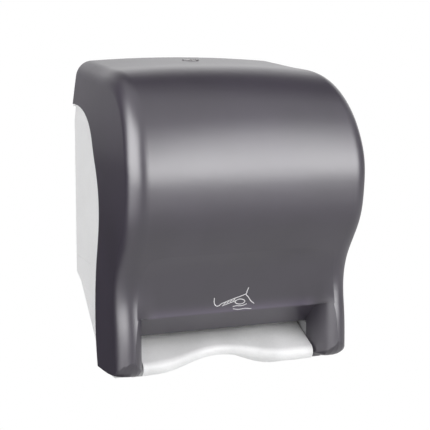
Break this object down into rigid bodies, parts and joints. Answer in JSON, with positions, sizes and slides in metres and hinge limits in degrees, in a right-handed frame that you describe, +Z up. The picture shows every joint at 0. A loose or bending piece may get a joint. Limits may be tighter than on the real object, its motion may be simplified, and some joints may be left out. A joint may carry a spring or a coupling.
{
  "type": "automatic roll towel dispenser",
  "caption": "Wall-hung automatic paper roll towel dispenser with a swinging bowed cover, powered rollers, a tear blade and a curved towel chute.",
  "frame": {"origin": "centre of the four wall screw holes, on the wall face of the housing", "axes": "+X to the viewer's right, +Y into the wall, +Z up"},
  "size_m": [0.298, 0.2324, 0.3818],
  "materials": {
    "cover_smoke": "moulded, smoky dark grey, gloss",
    "housing_grey": "moulded, light grey, satin",
    "chute_silver": "moulded, silver grey, satin",
    "chassis_grey": "moulded, mid grey",
    "black_plastic": "moulded, black",
    "arm_white": "moulded, white",
    "hub_blue": "moulded, blue",
    "button_blue": "moulded, blue",
    "switch_white": "moulded, white",
    "natural_nylon": "moulded, natural",
    "roller_rubber": "ground, dark grey",
    "pinch_rubber": "ground, grey",
    "steel": "ground bar",
    "zinc": "zinc plated",
    "blade_steel": "stamped stainless strip",
    "spring_steel": "drawn wire",
    "motor_can": "plated can",
    "brass": "cut",
    "contact_nickel": "nickel plated strip",
    "lock_nickel": "nickel plated",
    "board_green": "coated board",
    "light_lens": "tinted lens",
    "window_dark": "dark tinted window",
    "cell_wrap": "plain wrapped cells",
    "lead_black": "sleeved lead",
    "lead_grey": "sleeved lead"
  },
  "bodies": {
    "housing": {"wall_housing": "housing_grey", "towel_chute": "chute_silver", "hinge_pins": "steel", "chassis_cheek_left": "chassis_grey", "chassis_cheek_right": "chassis_grey", "front_beam": "black_plastic", "roller_guard": "black_plastic", "tear_blade": "blade_steel", "blade_screws": "zinc", "chassis_screws": "zinc", "cheek_screws": "zinc", "shaft_bushes": "natural_nylon", "pinch_pivot": "steel", "pinch_springs": "spring_steel", "feed_motor": "motor_can", "motor_screws": "zinc", "idler_axle": "steel", "gear_cover": "black_plastic", "control_housing": "black_plastic", "cover_screws": "zinc", "control_board": "board_green", "status_light": "light_lens", "sensor_window": "window_dark", "sensor_board": "board_green", "battery_tray": "chassis_grey", "tray_screws": "zinc", "battery_cells": "cell_wrap", "battery_contacts": "contact_nickel", "door_pin": "steel", "arm_springs": "spring_steel", "arm_pins": "steel", "lock_strike": "zinc", "strike_screws": "zinc", "battery_lead": "lead_black", "motor_lead": "lead_black", "sensor_lead": "lead_grey"},
    "cover": {"front_cover": "cover_smoke", "lock_body": "lock_nickel", "lock_nut": "zinc"},
    "lock_key_side": {"lock_plug": "lock_nickel", "lock_cam": "zinc"},
    "door": {"battery_door": "chassis_grey"},
    "left_arm": {"roll_arm_left": "arm_white"},
    "right_arm": {"roll_arm_right": "arm_white"},
    "left_hub": {"roll_hub_left": "hub_blue"},
    "right_hub": {"roll_hub_right": "hub_blue"},
    "drive_roller": {"drive_shaft": "steel", "drive_roller_core": "black_plastic", "roller_sleeves": "roller_rubber", "drive_gear": "natural_nylon"},
    "idler": {"idler_gear": "natural_nylon"},
    "motor_rotor": {"motor_shaft": "steel", "motor_pinion": "brass"},
    "pinch_carrier": {"pinch_bracket": "black_plastic"},
    "pinch_roller": {"pinch_shaft": "steel", "pinch_rollers": "pinch_rubber"},
    "button": {"feed_button": "button_blue"},
    "length_slider": {"length_switch": "switch_white"},
    "delay_slider": {"delay_switch": "switch_white"},
    "range_slider": {"range_switch": "switch_white"}
  },
  "joints": [
    {"name": "cover_hinge", "type": "hinge", "parent": "housing", "child": "cover", "pos_m": [0, -0.14, -0.2342], "axis": [1, 0, 0], "range_deg": [0, 95]},
    {"name": "lock_turn", "type": "hinge", "parent": "cover", "child": "lock_key_side", "pos_m": [0, -0.036, 0.12723], "axis": [0, 0.0987, -0.9951], "range_deg": [0, 90]},
    {"name": "battery_door_hinge", "type": "hinge", "parent": "housing", "child": "door", "pos_m": [0, -0.0055, -0.0897], "axis": [-1, 0, 0], "range_deg": [0, 92]},
    {"name": "left_arm_swing", "type": "hinge", "parent": "housing", "child": "left_arm", "pos_m": [-0.118, -0.01, -0.0032], "axis": [0, 0, -1], "range_deg": [0, 8], "stiffness_Nm_per_rad": 1.2, "springref_deg": -8.59},
    {"name": "right_arm_swing", "type": "hinge", "parent": "housing", "child": "right_arm", "pos_m": [0.118, -0.01, -0.0032], "axis": [0, 0, 1], "range_deg": [0, 8], "stiffness_Nm_per_rad": 1.2, "springref_deg": -8.59},
    {"name": "left_hub_spin", "type": "hinge", "parent": "left_arm", "child": "left_hub", "pos_m": [-0.098, -0.114, 0.0038], "axis": [1, 0, 0], "continuous": true},
    {"name": "right_hub_spin", "type": "hinge", "parent": "right_arm", "child": "right_hub", "pos_m": [0.098, -0.114, 0.0038], "axis": [1, 0, 0], "continuous": true},
    {"name": "drive_roller_spin", "type": "hinge", "parent": "housing", "child": "drive_roller", "pos_m": [0, -0.096, -0.1662], "axis": [1, 0, 0], "continuous": true},
    {"name": "idler_spin", "type": "hinge", "parent": "housing", "child": "idler", "pos_m": [0.124, -0.09066, -0.14178], "axis": [1, 0, 0], "continuous": true},
    {"name": "motor_spin", "type": "hinge", "parent": "housing", "child": "motor_rotor", "pos_m": [0.121, -0.07, -0.1442], "axis": [1, 0, 0], "continuous": true},
    {"name": "pinch_swing", "type": "hinge", "parent": "housing", "child": "pinch_carrier", "pos_m": [0, -0.122, -0.1392], "axis": [-1, 0, 0], "range_deg": [0, 8], "stiffness_Nm_per_rad": 1.5, "springref_deg": -8.59},
    {"name": "pinch_roller_spin", "type": "hinge", "parent": "pinch_carrier", "child": "pinch_roller", "pos_m": [0, -0.1164, -0.1617], "axis": [1, 0, 0], "continuous": true},
    {"name": "feed_button_press", "type": "slide", "parent": "housing", "child": "button", "axis": [0, 1, 0], "range_m": [0, 0.002], "stiffness_N_per_m": 300, "springref_m": -0.001},
    {"name": "length_switch_slide", "type": "slide", "parent": "housing", "child": "length_slider", "axis": [1, 0, 0], "range_m": [-0.003, 0.003]},
    {"name": "delay_switch_slide", "type": "slide", "parent": "housing", "child": "delay_slider", "axis": [1, 0, 0], "range_m": [-0.003, 0.003]},
    {"name": "range_switch_slide", "type": "slide", "parent": "housing", "child": "range_slider", "axis": [1, 0, 0], "range_m": [-0.003, 0.003]}
  ],
  "couplings": [
    {"joint": "idler_spin", "follows": "drive_roller_spin", "ratio": -2.5714},
    {"joint": "motor_spin", "follows": "drive_roller_spin", "ratio": 8.5714},
    {"joint": "pinch_roller_spin", "follows": "drive_roller_spin", "ratio": -1.5625}
  ]
}
